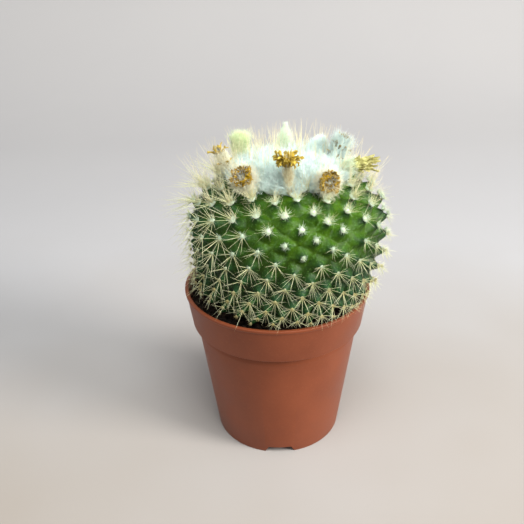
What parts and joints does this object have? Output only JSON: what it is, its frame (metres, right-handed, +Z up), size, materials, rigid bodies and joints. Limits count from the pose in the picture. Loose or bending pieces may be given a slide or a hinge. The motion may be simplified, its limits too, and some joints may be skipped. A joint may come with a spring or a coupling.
{
  "type": "potted round cactus",
  "caption": "Round green cactus with spiral rows of spined tubercles and a woolly crown of withered flowers, in a tapered round nursery pot.",
  "frame": {"origin": "middle of the object's footprint box, on the surface that the pot stands on", "axes": "+Z up, -Y the front, +X to the viewer's right seen from the front"},
  "size_m": [0.0974, 0.0972, 0.1465],
  "materials": {
    "pot_plastic": "satin terracotta-brown moulded polypropylene",
    "soil": "dark fibrous peat compost with bits of bark and grit",
    "root": "matt pale brown root bark",
    "stem_skin": "waxy green skin, yellow-green above, blue-green at the tubercles",
    "wool": "soft white plant wool",
    "bud_wool": "pale yellow-green silky wool",
    "tube_wool": "cream to tan wool and bristles on the floral tube",
    "dried_petal": "crumpled dry golden-brown petals",
    "spine": "straw-coloured translucent spines with cream felt at their feet"
  },
  "bodies": {
    "root": {"pot": "pot_plastic", "potting_soil": "soil", "roots": "root", "cactus_stem": "stem_skin", "crown_wool": "wool", "bud_back_left": "bud_wool", "bud_back": "bud_wool", "bud_back_right": "bud_wool", "flower_front_left_tube": "tube_wool", "flower_front_left_petals": "dried_petal", "flower_front_right_tube": "tube_wool", "flower_front_right_petals": "dried_petal", "flower_centre_tube": "tube_wool", "flower_centre_petals": "dried_petal", "flower_left_tube": "tube_wool", "flower_left_petals": "dried_petal", "flower_back_right_tube": "tube_wool", "flower_back_right_petals": "dried_petal", "flower_right_tube": "tube_wool", "flower_right_petals": "dried_petal", "spine_row_01": "spine", "spine_row_02": "spine", "spine_row_03": "spine", "spine_row_04": "spine", "spine_row_05": "spine", "spine_row_06": "spine", "spine_row_07": "spine", "spine_row_08": "spine", "spine_row_09": "spine", "spine_row_10": "spine", "spine_row_11": "spine", "spine_row_12": "spine", "spine_row_13": "spine", "spine_row_14": "spine", "spine_row_15": "spine", "spine_row_16": "spine", "spine_row_17": "spine", "spine_row_18": "spine"}
  },
  "joints": []
}
